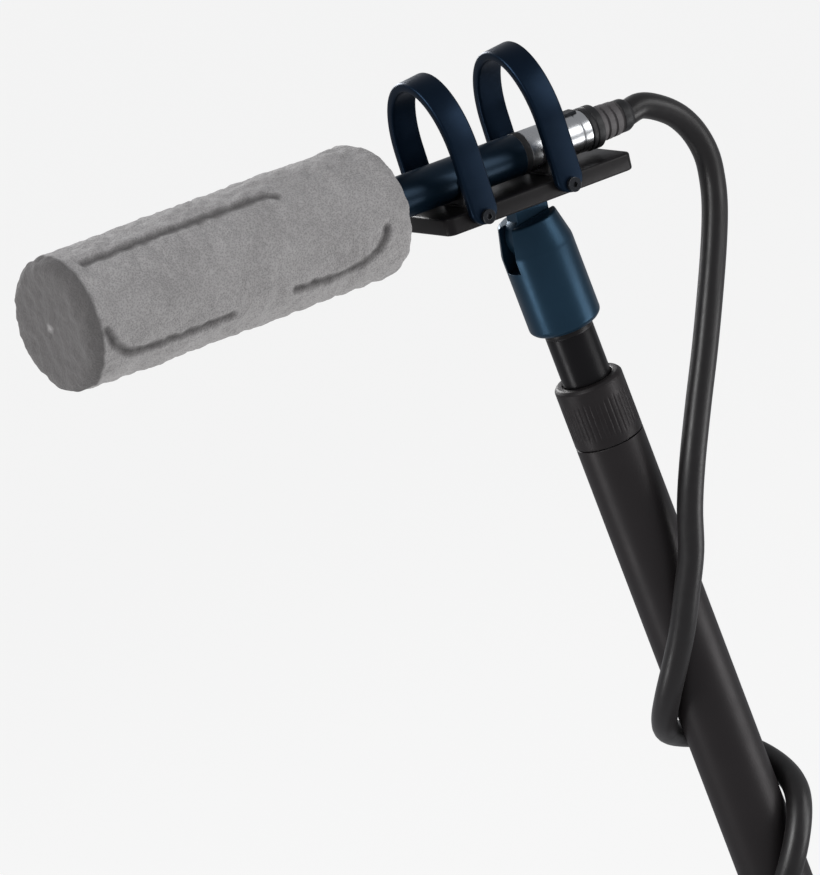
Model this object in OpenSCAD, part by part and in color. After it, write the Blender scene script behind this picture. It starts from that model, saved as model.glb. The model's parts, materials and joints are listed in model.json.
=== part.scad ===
// Telescoping boom pole with a tilting shotgun microphone cradle, foam windscreen and cable.
// Frame: the pole's axis is Z, tip up; the microphone points to -X. The origin is on the
// pole's axis at the hand grip, the place where the pole is held or clamped.

/* [Pole] */
// Outside diameter of the outer tube
outer_tube_d = 32; // [31:0.5:33]
// Outside diameter of the extension tube
inner_tube_d = 22.7; // [22:0.1:23.2]
// Height of the outer tube's mouth above the grip
mouth_z = 310; // [300:1:312]
// Depth of the butt plug's flange below the grip
butt_z = 292; // [285:1:320]
// Wall thickness of the outer tube
outer_wall = 1.6; // [1.2:0.1:1.8]
// Wall thickness of the extension tube
inner_wall = 1.25; // [1:0.05:1.6]

/* [Stem] */
// Largest diameter of the stem adapter
stem_d = 33.7; // [32:0.1:36]
// Diameter of the stem adapter at its top
stem_top_d = 27.2; // [26.6:0.1:29]
// Diameter of the threaded stud that joins the pole's tip and the stem
stud_d = 9.53; // [9:0.01:10]

/* [Cradle] */
// Angle by which the cradle is stored nose up
nose_up = 9.5; // [0:0.5:12]
// Length of the base bar
bar_length = 104; // [100:1:110]
// Width of the base bar, between the hoops' legs
bar_width = 40; // [38:0.5:44]
// Thickness of the base bar
bar_thickness = 8; // [7.5:0.1:8.4]
// Place of the front hoop along the cradle
hoop_front_x = -37; // [-39:1:-35]
// Place of the rear hoop along the cradle
hoop_rear_x = 11; // [11:1:15]
// Width of a hoop's band
hoop_band = 14; // [12:0.5:15]
// Thickness of a hoop's band
hoop_thickness = 4.5; // [3.5:0.25:5]
// Height of a hoop's crown above the tilt axis
hoop_top = 86.5; // [80:0.5:90]
// Angle by which the hoops lean forward
hoop_lean = 6; // [0:1:8]

/* [Microphone] */
// Diameter of the microphone's barrel
barrel_d = 19.4; // [18.8:0.1:19.6]
// Diameter of the windscreen
windscreen_d = 62; // [56:1:66]
// Length of the windscreen
windscreen_length = 181; // [176:1:186]

/* [Cable] */
// Diameter of the cable
cable_d = 12; // [10:0.5:12]

/* [Hidden] */

$fn = 64;
eps = 0.01;
running = 0.07;       // radial clearance of a sliding or turning fit

// Pole
outer_r = outer_tube_d / 2;
outer_bore = outer_r - outer_wall;
inner_r = inner_tube_d / 2;
inner_bore = inner_r - inner_wall;
collar_length = 30;
collar_gap = 0.4;
tube_top = mouth_z - collar_length;
sleeve_low = tube_top - 40;
sleeve_neck_r = 13.2;
sleeve_top = mouth_z - 8;
collet_r = 13.6;
collet_top = mouth_z - 2;
inner_low = -200;
bush_length = 24;
tip_z = mouth_z + 24;
flange_thickness = 3;
foot_thickness = 8;

// Stem and tilt axis
stem_low = tip_z + flange_thickness;
stem_r = stem_d / 2;
stem_top_r = stem_top_d / 2;
pivot_z = stem_low + 46;
stem_top_z = pivot_z + 8;
shoulder_z = pivot_z - 6;
slot_depth = 12.7;
stud_r = stud_d / 2;
slot_half = 5;
lug_half = 4.05;
lug_round = 12;
lug_neck = 9;
bolt_r = 3;
bolt_seat = 10;
bolt_head = 3;
bolt_end = 11;

// Cradle, measured from the tilt axis
bar_low = 16.5;
bar_top = bar_low + bar_thickness;
bar_middle = -3.5;
flange_depth = 2.5;
flange_half = 10.5;
lug_screw_places = [-7, 7];
lug_screw_r = 1.25;
mic_z = 36.5;
barrel_r = barrel_d / 2;
barrel_bore = barrel_r - 1.1;
hoop_foot = 17.5;
hoop_spring = 50;
screw_z = bar_low + 4.5;
leg_inner = bar_width / 2;
leg_outer = leg_inner + hoop_thickness;
clip_r = barrel_r + 2.2;
clip_offset = 4.8;    // how far each clip sits behind its hoop
clip_places = [hoop_front_x + clip_offset, hoop_rear_x + clip_offset];
pad_low = bar_top - 2;
pad_top = bar_top + 0.8;
windscreen_rear = -75.5;
windscreen_r = windscreen_d / 2;
mic_front = -241;
mic_rear = 0;
shell_front = 3.5;
shell_rear = 37.5;
shell_r = barrel_r - 0.1;
ring_rear = 44;
boot_rear = 57;
boot_neck_r = 7.2;
cable_x = 63;
latch_x = 30;

// Cable
cable_r = cable_d / 2;
cable_sides = 10;
hank_turn = 36;
hank_high = -33;
hank_low = -175;
hank_front = 17;
hank_layers = 3;
hank_pitch = 12.2;
hank_thickness = (hank_layers - 1) * hank_pitch + cable_d;
tail_y = hank_front + cable_r + (hank_layers - 1) * hank_pitch;
tail_low = -224;
end_shell_top = tail_low - 18;
end_collar_low = end_shell_top - 34;
end_nose_low = end_collar_low - 14;

// Where the cable leaves the boot ring, in the part's frame
cable_exit = [cable_x * cos(nose_up) + mic_z * sin(nose_up), 0,
              pivot_z - cable_x * sin(nose_up) + mic_z * cos(nose_up)];

// The cable's route: over the arc, down to the pole, then twice round it to the hank
cable_route = concat([cable_exit], [
    [76.5, 0, 408.4], [84.8, -1, 403.2], [91.9, -2, 395.5], [96.4, -3, 385.4], [97.2, -5, 374],
    [94.3, -7, 363], [88.5, -10, 352], [79, -13, 337.5], [65.5, -17, 319.5], [51, -20, 299.5],
    [35.7, -23, 279.5], [20.5, -25.5, 258], [11, -25.5, 240], [4, -25, 222],
    [-4.5, -22.8, 205], [-12, -19.5, 189], [-18.5, -13.5, 174], [-22.3, -5, 160],
    [-22.4, 4.5, 148], [-18.5, 13.3, 139], [-11, 20.1, 132], [-1.5, 22.9, 126],
    [8, 21.5, 121], [16, 16.2, 112], [21.4, 7.7, 104], [22.6, -2, 97], [19.7, -11.3, 91],
    [13, -18.7, 84], [3.9, -22.5, 74], [-5.8, -22, 62], [-14.6, -17.4, 50],
    [-20.8, -9.6, 39], [-24, 0, 29], [-28.5, 10, 19], [-33, 17.8, 5], [-35.6, 22.4, -12],
    [-36, 23, -33]]);
seam = 23;            // the route point behind the pole where the two cable solids meet
seam_gap = 0.1;
hank_entry = 36;      // the last route point before the hank

// A point moved from the cradle's own frame into the part's frame
module cradle_frame() {
    translate([0, 0, pivot_z]) rotate([0, nose_up, 0]) children();
}

// A cylinder along the microphone's axis from x0 to x1, in the cradle's frame
module along_mic(x0, x1, r) {
    translate([x0, 0, mic_z]) rotate([0, 90, 0]) cylinder(r = r, h = x1 - x0);
}

// A tube along the microphone's axis
module mic_ring(x0, x1, r_out, r_in) {
    difference() {
        along_mic(x0, x1, r_out);
        along_mic(x0 - 1, x1 + 1, r_in);
    }
}

// A cylinder along Y from y0 to y1 at a place (x, z)
module along_y(x, z, y0, y1, r) {
    translate([x, y0, z]) rotate([-90, 0, 0]) cylinder(r = r, h = y1 - y0);
}

// A tube along Z
module ring(z0, z1, r_out, r_in) {
    difference() {
        translate([0, 0, z0]) cylinder(r = r_out, h = z1 - z0);
        translate([0, 0, z0 - 1]) cylinder(r = r_in, h = z1 - z0 + 2);
    }
}

// ---- Outer tube and clutch ----

module outer_tube() {
    color("#2b2829") ring(-butt_z, tube_top, outer_r, outer_bore);
}

module clutch_sleeve() {
    color("#8d9094") difference() {
        union() {
            translate([0, 0, sleeve_low]) cylinder(r = outer_bore, h = tube_top - sleeve_low);
            translate([0, 0, tube_top - eps])
                cylinder(r = sleeve_neck_r, h = sleeve_top - tube_top + eps);
        }
        translate([0, 0, sleeve_low - 1])
            cylinder(r = inner_r + running, h = sleeve_top - sleeve_low + 2);
    }
}

module clutch_collet() {
    color("#d8d4c8") difference() {
        ring(sleeve_top, collet_top, collet_r, inner_r + running);
        translate([0, -0.6, sleeve_top - 1])
            cube([collet_r + 1, 1.2, collet_top - sleeve_top + 2]);
    }
}

module clutch_collar() {
    flutes = 40;
    color("#2b2829") difference() {
        rotate_extrude() polygon([
            [sleeve_neck_r + running, tube_top + collar_gap], [outer_r, tube_top + collar_gap],
            [outer_r, mouth_z - 2.2], [outer_r - 0.6, mouth_z - 0.7], [outer_r - 2, mouth_z],
            [inner_r + 0.4, mouth_z], [inner_r + 0.4, collet_top + 0.1],
            [collet_r + 0.1, collet_top + 0.1], [collet_r + 0.1, sleeve_top - 0.2],
            [sleeve_neck_r + running, sleeve_top - 0.2]]);
        for (i = [0 : flutes - 1])
            rotate(i * 360 / flutes)
                translate([outer_r + 0.75, 0, tube_top + 5]) cylinder(r = 1, h = 17);
    }
}

module butt_plug() {
    color("#3a3a3d") difference() {
        union() {
            translate([0, 0, -butt_z - 4]) cylinder(r = outer_r, h = 4);
            translate([0, 0, -butt_z - eps]) cylinder(r = outer_bore, h = 30);
        }
        translate([0, 0, -butt_z - 5]) cylinder(r = 2.5, h = 24);
    }
}

module butt_foot() {
    foot_top = -butt_z - 4;
    color("#1c1c1e") difference() {
        rotate_extrude() polygon([
            [0, foot_top], [outer_r, foot_top], [outer_r, foot_top - foot_thickness + 2.5],
            [outer_r - 0.8, foot_top - foot_thickness + 0.8],
            [outer_r - 2.5, foot_top - foot_thickness], [0, foot_top - foot_thickness]]);
        translate([0, 0, foot_top - foot_thickness - 1]) cylinder(r = 5, h = 5);
        translate([0, 0, foot_top - foot_thickness - 1]) cylinder(r = 2.5, h = 20);
    }
}

module butt_screw() {
    seat = -butt_z - 4 - foot_thickness + 4;
    color("#c9ccd0") difference() {
        union() {
            translate([0, 0, seat - 2.5]) cylinder(r = 4.4, h = 2.5);
            translate([0, 0, seat - eps]) cylinder(r = 2.5, h = 20);
        }
        translate([0, 0, seat - 3.5]) cylinder(r = 1.6, h = 2.4, $fn = 6);
    }
}

// ---- Extension tube and stem ----

module inner_tube() {
    color("#1b191a") ring(inner_low, tip_z, inner_r, inner_bore);
}

module guide_bush() {
    color("#d8d4c8") ring(inner_low, inner_low + bush_length, outer_bore - running, inner_r);
}

module tip_plug() {
    color("#8d9094") difference() {
        union() {
            translate([0, 0, tip_z - 32]) cylinder(r = inner_bore, h = 32 + eps);
            translate([0, 0, tip_z]) cylinder(r = inner_r, h = flange_thickness);
        }
        translate([0, 0, tip_z - 20]) cylinder(r = stud_r, h = 30);
    }
}

module tip_stud() {
    color("#b9bcc0") translate([0, 0, tip_z - 18]) cylinder(r = stud_r, h = 40);
}

module stem_adapter() {
    color("#22384a") difference() {
        rotate_extrude() polygon([
            [0, stem_low], [stem_r - 3, stem_low], [stem_r - 0.9, stem_low + 0.9],
            [stem_r, stem_low + 3], [stem_r, shoulder_z],
            [stem_top_r + 0.4, stem_top_z - 1.6], [stem_top_r - 1, stem_top_z],
            [0, stem_top_z]]);
        translate([0, 0, stem_low - 1]) cylinder(r = stud_r, h = 24);
        translate([-stem_r - 1, -slot_half, pivot_z - slot_depth])
            cube([stem_d + 2, 2 * slot_half, 30]);
        along_y(0, pivot_z, -bolt_end, stem_r + 1, bolt_r);
        along_y(0, pivot_z, bolt_seat, stem_r + 1, 5.8);
    }
}

// A socket screw from the back, threaded into a blind hole in the front cheek
module tilt_bolt() {
    color("#3c4046") difference() {
        union() {
            along_y(0, pivot_z, bolt_seat, bolt_seat + bolt_head, 5.3);
            along_y(0, pivot_z, -bolt_end, bolt_seat + eps, bolt_r);
        }
        translate([0, bolt_seat + bolt_head + 1, pivot_z]) rotate([90, 0, 0])
            cylinder(r = 2.4, h = 2.8, $fn = 6);
    }
}

module tilt_washers() {
    color("#d8d4c8") for (side = [-1, 1])
        difference() {
            along_y(0, pivot_z, side * slot_half - (side > 0 ? 0.8 : 0),
                    side * slot_half + (side > 0 ? 0 : 0.8), 7.2);
            along_y(0, pivot_z, -slot_half - 1, slot_half + 1, bolt_r + 0.02);
        }
}

// ---- Cradle ----

module tilt_lug() {
    color("#22384a") cradle_frame() difference() {
        union() {
            along_y(0, 0, -lug_half, lug_half, lug_round);
            translate([-lug_neck, -lug_half, 0])
                cube([2 * lug_neck, 2 * lug_half, bar_low + 1]);
            translate([-flange_half, -10, bar_low]) cube([2 * flange_half, 20, flange_depth]);
        }
        along_y(0, 0, -lug_half - 1, lug_half + 1, bolt_r + running);
        for (x = lug_screw_places, y = lug_screw_places)
            translate([x, y, bar_low - 1]) cylinder(r = lug_screw_r, h = 6);
    }
}

module lug_screws() {
    color("#b9bcc0") cradle_frame() for (x = lug_screw_places, y = lug_screw_places) {
        translate([x, y, bar_low - 1.3]) cylinder(r = 2.2, h = 1.3);
        translate([x, y, bar_low - eps]) cylinder(r = lug_screw_r, h = 6);
    }
}

// Outline of the base bar seen from above, with rounded corners
module bar_outline() {
    corner = 4;
    x0 = bar_middle - bar_length / 2;
    x1 = bar_middle + bar_length / 2;
    translate([x0 + corner, -bar_width / 2]) square([bar_length - 2 * corner, bar_width]);
    translate([x0, -bar_width / 2 + corner]) square([bar_length, bar_width - 2 * corner]);
    for (x = [x0 + corner, x1 - corner], y = [-1, 1])
        translate([x, y * (bar_width / 2 - corner)]) circle(r = corner);
}

module base_bar() {
    color("#242224") cradle_frame() difference() {
        translate([0, 0, bar_low]) linear_extrude(bar_thickness) bar_outline();
        translate([-flange_half, -10, bar_low - 1])
            cube([2 * flange_half, 20, flange_depth + 1]);
        for (x = lug_screw_places, y = lug_screw_places)
            translate([x, y, bar_low]) cylinder(r = lug_screw_r, h = 6 - eps);
        for (x = clip_places) {
            translate([x - 6, -10, pad_low]) cube([12, 20, 4]);
            translate([x, 0, bar_low - 1]) cylinder(r = 1.5, h = 12);
            translate([x, 0, bar_low - 1]) cylinder(r = 2.8, h = 2.5);
        }
        for (x = [hoop_front_x, hoop_rear_x], side = [-1, 1])
            along_y(x, screw_z, side > 0 ? leg_inner - 8 : -leg_inner - 1,
                    side > 0 ? leg_inner + 1 : -leg_inner + 8, 2);
    }
}

// Half of an ellipse over the two legs, as points from +Y to -Y
function crown(half_width, height) = [
    for (i = [0 : 24]) [half_width * cos(i * 7.5), hoop_spring + height * sin(i * 7.5)]];

module hoop(x) {
    rise = hoop_top - hoop_spring;
    foot_r = hoop_band / 2;
    cradle_frame() translate([x, 0, screw_z]) rotate([0, -hoop_lean, 0])
    translate([-x, 0, -screw_z]) difference() {
        intersection() {
            translate([x - hoop_band / 2, 0, 0]) rotate([90, 0, 90])
                linear_extrude(hoop_band) difference() {
                    polygon(concat(crown(leg_outer, rise),
                                   [[-leg_outer, hoop_foot], [leg_outer, hoop_foot]]));
                    polygon(concat(crown(leg_inner, rise - hoop_thickness),
                                   [[-leg_inner, hoop_foot - 1], [leg_inner, hoop_foot - 1]]));
                }
            union() {
                along_y(x, hoop_foot + foot_r, -leg_outer - 1, leg_outer + 1, foot_r);
                translate([x - foot_r, -leg_outer - 1, hoop_foot + foot_r])
                    cube([hoop_band, 2 * leg_outer + 2, 80]);
            }
        }
        along_y(x, screw_z, -leg_outer - 1, leg_outer + 1, 2);
    }
}

module hoop_front() {
    color("#1d2f3d") hoop(hoop_front_x);
}

module hoop_rear() {
    color("#1d2f3d") hoop(hoop_rear_x);
}

module hoop_screws() {
    color("#1e2226") cradle_frame()
        for (x = [hoop_front_x, hoop_rear_x], side = [-1, 1])
            mirror([0, side > 0 ? 0 : 1, 0]) difference() {
                union() {
                    along_y(x, screw_z, leg_outer, leg_outer + 1.6, 3.4);
                    along_y(x, screw_z, leg_inner - 7.5, leg_outer + eps, 2);
                }
                translate([x, leg_outer + 0.6, screw_z]) rotate([-90, 0, 0])
                    cylinder(r = 1.4, h = 3, $fn = 6);
            }
}

// A saddle that snaps round the lower part of the barrel or of the plug
module clip(x) {
    half = 5.3;
    cradle_frame() difference() {
        union() {
            along_mic(x - half, x + half, clip_r);
            translate([x - half, -8, pad_top]) cube([2 * half, 16, 6]);
        }
        along_mic(x - half - 1, x + half + 1, barrel_r);
        translate([x - half - 1, -20, mic_z + 1.6]) cube([2 * half + 2, 40, 40]);
        translate([x - half - 1, -20, pad_top - 10]) cube([2 * half + 2, 40, 10]);
        translate([x, 0, pad_top - 1]) cylinder(r = 1.5, h = 2);
    }
}

module clip_front() {
    color("#161618") clip(clip_places[0]);
}

module clip_rear() {
    color("#161618") clip(clip_places[1]);
}

module clip_isolators() {
    color("#2a2a2c") cradle_frame() for (x = clip_places)
        difference() {
            translate([x - 6, -10, pad_low]) cube([12, 20, pad_top - pad_low]);
            translate([x, 0, pad_low - 1]) cylinder(r = 1.5, h = 6);
        }
}

module clip_screws() {
    color("#b9bcc0") cradle_frame() for (x = clip_places) {
        translate([x, 0, bar_low + 0.2]) cylinder(r = 2.8, h = 1.3);
        translate([x, 0, bar_low + 1.5 - eps]) cylinder(r = 1.5, h = pad_top + 1 - bar_low - 1.5);
    }
}

// ---- Microphone ----

module mic_tube() {
    slots = 9;
    slot_pitch = 15;
    color("#1b2c3a") cradle_frame() difference() {
        mic_ring(mic_front, mic_rear, barrel_r, barrel_bore);
        for (i = [0 : slots - 1])
            translate([mic_front + 10 + i * slot_pitch, -barrel_r - 1, mic_z - 0.8])
                cube([10, barrel_d + 2, 1.6]);
    }
}

module mic_front_cap() {
    color("#101214") cradle_frame() difference() {
        union() {
            along_mic(mic_front - 3, mic_front, barrel_r);
            along_mic(mic_front - eps, mic_front + 5, barrel_bore);
        }
        along_mic(mic_front - 2, mic_front + 6, barrel_bore - 1.4);
        for (y = [-3.6, 0, 3.6], z = [-3.6, 0, 3.6])
            translate([mic_front - 4, y, mic_z + z]) rotate([0, 90, 0]) cylinder(r = 1.1, h = 4);
    }
}

module mic_capsule() {
    color("#a58a4a") cradle_frame() along_mic(mic_front + 142, mic_front + 154, barrel_bore);
}

module mic_board() {
    color("#1f5a38") cradle_frame()
        translate([mic_rear - 85, -7, mic_z - 0.8]) cube([75, 14, 1.6]);
}

module mic_rear_ring() {
    color("#101214") cradle_frame() difference() {
        union() {
            along_mic(mic_rear, shell_front, barrel_r + 0.1);
            along_mic(mic_rear - 8, mic_rear + eps, barrel_bore);
        }
        along_mic(mic_rear - 5, shell_front + 1, barrel_bore - 0.5);
    }
}

// Places of the three contacts, as [y, z] from the microphone's axis
function contacts() = [[-3.3, 1.6], [3.3, 1.6], [0, -3.4]];

module mic_pins() {
    color("#c8a24a") cradle_frame() for (at = contacts())
        translate([mic_rear - 5, at[0], mic_z + at[1]]) rotate([0, 90, 0])
            cylinder(r = 1.2, h = 18);
}

module plug_shell() {
    color("#d0d2d4") cradle_frame() difference() {
        mic_ring(shell_front, shell_rear, shell_r, shell_r - 1.3);
        translate([latch_x - 5.2, -3.2, mic_z]) cube([10.4, 6.4, 20]);
    }
}

module plug_insert() {
    color("#161618") cradle_frame() difference() {
        along_mic(shell_front + 1, shell_rear - 17, barrel_bore - 0.7);
        for (at = contacts())
            translate([shell_front, at[0], mic_z + at[1]]) rotate([0, 90, 0])
                cylinder(r = 1.25, h = 9.5);
    }
}

module plug_ring() {
    color("#161618") cradle_frame() difference() {
        union() {
            along_mic(shell_rear, ring_rear, barrel_r + 0.4);
            along_mic(shell_rear - 2, shell_rear + eps, shell_r - 1.3);
        }
        along_mic(shell_rear - 3, ring_rear + 1, boot_neck_r);
    }
}

module plug_boot() {
    color("#4c4a4b") cradle_frame() difference() {
        union() {
            along_mic(ring_rear, boot_rear, 8.4);
            along_mic(ring_rear - 4, ring_rear + eps, boot_neck_r);
        }
        along_mic(ring_rear - 5, boot_rear + 1, cable_r);
    }
}

module boot_ring() {
    color("#161618") cradle_frame() mic_ring(boot_rear, cable_x, 7.6, cable_r - 0.4);
}

module latch_button() {
    color("#2a2c2e") cradle_frame()
        translate([latch_x - 5, -3, mic_z + shell_r - 1.6]) cube([10, 6, 2.6]);
}

module latch_spring() {
    color("#c9ccd0") cradle_frame()
        translate([shell_rear - 17, -2, mic_z + shell_r - 3.6]) cube([13, 4, 0.4]);
}

module windscreen() {
    front = windscreen_rear - windscreen_length;
    nose = 7;
    heel = 12;
    bore = barrel_r + running;
    color("#8f8d8d") cradle_frame()
        translate([windscreen_rear, 0, mic_z]) rotate([0, -90, 0]) difference() {
            rotate_extrude() polygon(concat(
                [[0, 0]],
                [for (i = [0 : 6]) [windscreen_r - heel * (1 - sin(i * 15)),
                                    heel * (1 - cos(i * 15))]],
                [for (i = [0 : 6]) [windscreen_r - nose * (1 - cos(i * 15)),
                                    windscreen_length - nose * (1 - sin(i * 15))]],
                [[0, windscreen_length]]));
            translate([0, 0, -1]) cylinder(r = bore, h = windscreen_rear - mic_front + 4.5);
        }
}

// ---- Cable ----

// Catmull-Rom point between route points i and i + 1
function route_at(i, t) =
    let (n = len(cable_route) - 1,
         a = cable_route[max(i - 1, 0)], b = cable_route[i],
         c = cable_route[min(i + 1, n)], d = cable_route[min(i + 2, n)])
    0.5 * (2 * b + (c - a) * t + (2 * a - 5 * b + 4 * c - d) * t * t
           + (3 * b - a - 3 * c + d) * t * t * t);

function unit(v) = v / norm(v);

seam_tangent = unit(cable_route[seam + 1] - cable_route[seam - 1]);

// Points along the route from point i0 to point i1, two to a step
function route_line(i0, i1) = concat(
    [for (i = [i0 : i1 - 1], k = [0, 1]) route_at(i, k / 2)], [cable_route[i1]]);

function line_tangent(line, i) = unit(line[min(i + 1, len(line) - 1)] - line[max(i - 1, 0)]);

function turned(n, t) = unit(n - (n * t) * t);

// A normal at each point, each one carried on from the last without twist
function line_normals(line) = [
    for (i = 0, n = turned([0, 1, 0.2], line_tangent(line, 0));
         i < len(line);
         i = i + 1, n = i < len(line) ? turned(n, line_tangent(line, i)) : n) n];

// A closed tube along a line, its two end faces square to the tangents given
module cable_tube(line, tangent_0, tangent_1) {
    normals = line_normals(line);
    last = len(line) - 1;
    points = [for (i = [0 : last], k = [0 : cable_sides - 1])
        let (t = i == 0 ? tangent_0 : i == last ? tangent_1 : line_tangent(line, i),
             n = turned(normals[i], t),
             b = cross(t, n), angle = k * 360 / cable_sides)
        line[i] + cable_r * (n * cos(angle) + b * sin(angle))];
    walls = [for (i = [0 : last - 1], k = [0 : cable_sides - 1])
        let (m = (k + 1) % cable_sides)
        [i * cable_sides + k, (i + 1) * cable_sides + k,
         (i + 1) * cable_sides + m, i * cable_sides + m]];
    polyhedron(points, concat(walls,
        [[for (k = [0 : cable_sides - 1]) k]],
        [[for (k = [cable_sides - 1 : -1 : 0]) last * cable_sides + k]]));
}

module cable_upper() {
    color("#3a3839") cable_tube(route_line(0, seam), [cos(nose_up), 0, -sin(nose_up)],
                                seam_tangent);
}

module cable_lower() {
    line = route_line(seam, hank_entry);
    color("#3a3839") translate(seam_gap * seam_tangent)
        cable_tube(line, seam_tangent, [0, 0, -1]);
}

module cable_hank() {
    outer = hank_turn + cable_r;
    color("#343233") translate([0, hank_front + hank_thickness, 0]) rotate([90, 0, 0])
        linear_extrude(hank_thickness) {
            translate([-outer, hank_low]) square([2 * outer, hank_high - hank_low]);
            for (z = [hank_low, hank_high]) translate([0, z]) circle(r = outer);
        }
}

module cable_tail() {
    color("#3a3839") translate([-hank_turn, tail_y, tail_low])
        cylinder(r = cable_r, h = hank_low - 15 - tail_low);
}

// Outline round the pole and the hank together
module strap_outline(gap) {
    back = hank_front + hank_thickness + gap;
    half = hank_turn + cable_r + gap;
    hull() {
        circle(r = outer_r + gap);
        translate([-half, back - 12]) square([2 * half, 12]);
        translate([-half, hank_front - gap]) square([2 * half, 12]);
    }
}

module cable_straps() {
    color("#19191b") for (z = [-62, -146])
        translate([0, 0, z]) linear_extrude(16) difference() {
            strap_outline(1.9);
            strap_outline(0.3);
        }
}

module end_plug_boot() {
    color("#161618") translate([-hank_turn, tail_y, 0]) rotate_extrude() polygon([
        [0, tail_low], [cable_r + 0.8, tail_low], [8, end_shell_top], [0, end_shell_top]]);
}

module end_plug_shell() {
    color("#d0d2d4") translate([-hank_turn, tail_y, 0]) difference() {
        union() {
            translate([0, 0, end_collar_low]) cylinder(r = 9.9, h = end_shell_top - end_collar_low);
            translate([0, 0, end_nose_low]) cylinder(r = 9.3, h = end_collar_low - end_nose_low + eps);
        }
        translate([0, 0, end_nose_low - 1]) cylinder(r = 8, h = 19);
    }
}

module end_plug_insert() {
    color("#c8a24a") translate([-hank_turn, tail_y, 0]) {
        translate([0, 0, end_nose_low + 16]) cylinder(r = 8, h = 2);
        for (at = contacts())
            translate([at[0], at[1], end_nose_low + 2]) cylinder(r = 1.2, h = 14 + eps);
    }
}

outer_tube();
clutch_sleeve();
clutch_collet();
clutch_collar();
butt_plug();
butt_foot();
butt_screw();
inner_tube();
guide_bush();
tip_plug();
tip_stud();
stem_adapter();
tilt_bolt();
tilt_washers();
tilt_lug();
lug_screws();
base_bar();
hoop_front();
hoop_rear();
hoop_screws();
clip_front();
clip_rear();
clip_isolators();
clip_screws();
mic_tube();
mic_front_cap();
mic_capsule();
mic_board();
mic_rear_ring();
mic_pins();
plug_shell();
plug_insert();
plug_ring();
plug_boot();
boot_ring();
latch_button();
latch_spring();
windscreen();
cable_upper();
cable_lower();
cable_hank();
cable_tail();
cable_straps();
end_plug_boot();
end_plug_shell();
end_plug_insert();
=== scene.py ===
# %% [markdown]
# # A boom pole with a microphone, built piece by piece
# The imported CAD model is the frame: it says where every piece is and which body it moves
# with. This lesson gives each piece its real surface. Everything is in metres, the pole's
# axis is Z, and the microphone points to -X.

import json
from math import asin, ceil, cos, hypot, pi, radians, sin, sqrt

import bmesh
import bpy
from mathutils import Matrix, Vector, noise


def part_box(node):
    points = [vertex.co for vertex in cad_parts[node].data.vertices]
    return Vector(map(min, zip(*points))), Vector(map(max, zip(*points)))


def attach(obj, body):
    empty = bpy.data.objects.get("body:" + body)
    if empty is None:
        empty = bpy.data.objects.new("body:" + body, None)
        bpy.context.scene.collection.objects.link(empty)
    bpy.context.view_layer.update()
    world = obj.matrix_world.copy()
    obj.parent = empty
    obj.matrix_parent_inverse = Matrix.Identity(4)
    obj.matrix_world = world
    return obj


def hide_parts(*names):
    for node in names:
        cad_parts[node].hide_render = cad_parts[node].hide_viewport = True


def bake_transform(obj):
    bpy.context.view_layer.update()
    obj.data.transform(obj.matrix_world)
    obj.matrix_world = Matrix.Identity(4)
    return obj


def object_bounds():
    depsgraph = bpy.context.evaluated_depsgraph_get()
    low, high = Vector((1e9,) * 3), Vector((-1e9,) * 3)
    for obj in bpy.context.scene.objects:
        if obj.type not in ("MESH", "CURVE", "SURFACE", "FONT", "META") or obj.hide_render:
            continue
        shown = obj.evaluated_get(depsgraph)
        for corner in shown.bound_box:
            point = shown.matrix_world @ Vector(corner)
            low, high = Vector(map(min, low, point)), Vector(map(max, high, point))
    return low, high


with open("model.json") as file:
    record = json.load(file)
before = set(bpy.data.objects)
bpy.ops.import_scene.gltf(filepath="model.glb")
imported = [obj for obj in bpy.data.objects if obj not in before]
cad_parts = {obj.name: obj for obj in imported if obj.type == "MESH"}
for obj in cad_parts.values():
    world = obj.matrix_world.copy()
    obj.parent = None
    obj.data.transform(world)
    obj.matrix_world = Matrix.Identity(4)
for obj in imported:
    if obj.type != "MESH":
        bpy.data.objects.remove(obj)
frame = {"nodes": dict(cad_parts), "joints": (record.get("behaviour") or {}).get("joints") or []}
cad_box = [list(corner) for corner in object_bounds()]
print("CAD box:", [[round(v, 4) for v in corner] for corner in cad_box])

# %% [markdown]
# ## The cradle's own frame
# The microphone, the hoops and the bar sit nose up on a tilt bolt. It is far easier to model
# them level and then turn them, so this step reads the bolt's place from the tilt joint and
# the angle from the direction in which the windscreen slides off.

# %% A matrix from the level cradle to its place
joints = {joint["name"]: joint for joint in frame["joints"]}
pivot = Vector(joints["head_tilt"]["pos_m"])
nose_up = asin(joints["windscreen_slide"]["axis"][2])
cradle_place = Matrix.Translation(pivot) @ Matrix.Rotation(nose_up, 4, "Y")


def cradle_box(node):
    """Lowest and highest corner of a CAD node, measured in the level cradle."""
    back = cradle_place.inverted()
    points = [back @ v.co for v in frame["nodes"][node].data.vertices]
    low = Vector(min(p[i] for p in points) for i in range(3))
    high = Vector(max(p[i] for p in points) for i in range(3))
    return low, high


mic_height = sum(corner.z for corner in cradle_box("mic_tube")) / 2
mic_place = (cradle_place @ Matrix.Translation((0, 0, mic_height))
             @ Matrix.Rotation(pi / 2, 4, "Y"))
print("nose up by", round(nose_up * 180 / pi, 2), "degrees, microphone axis",
      round(mic_height * 1000, 1), "mm above the bolt")

# %% [markdown]
# ## The camera
# The camera stands to the left of the pole and a little above it, far away with a long lens,
# so that parallel edges stay nearly parallel. It is rolled, which makes the pole lean. The
# matrix is written from three directions: right and up in the finished image, and back
# towards the camera.

# %% Place the camera
camera_data = bpy.data.cameras.new("studio_camera")
camera = bpy.data.objects.new("studio_camera", camera_data)
bpy.context.scene.collection.objects.link(camera)
bpy.context.scene.camera = camera

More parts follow.
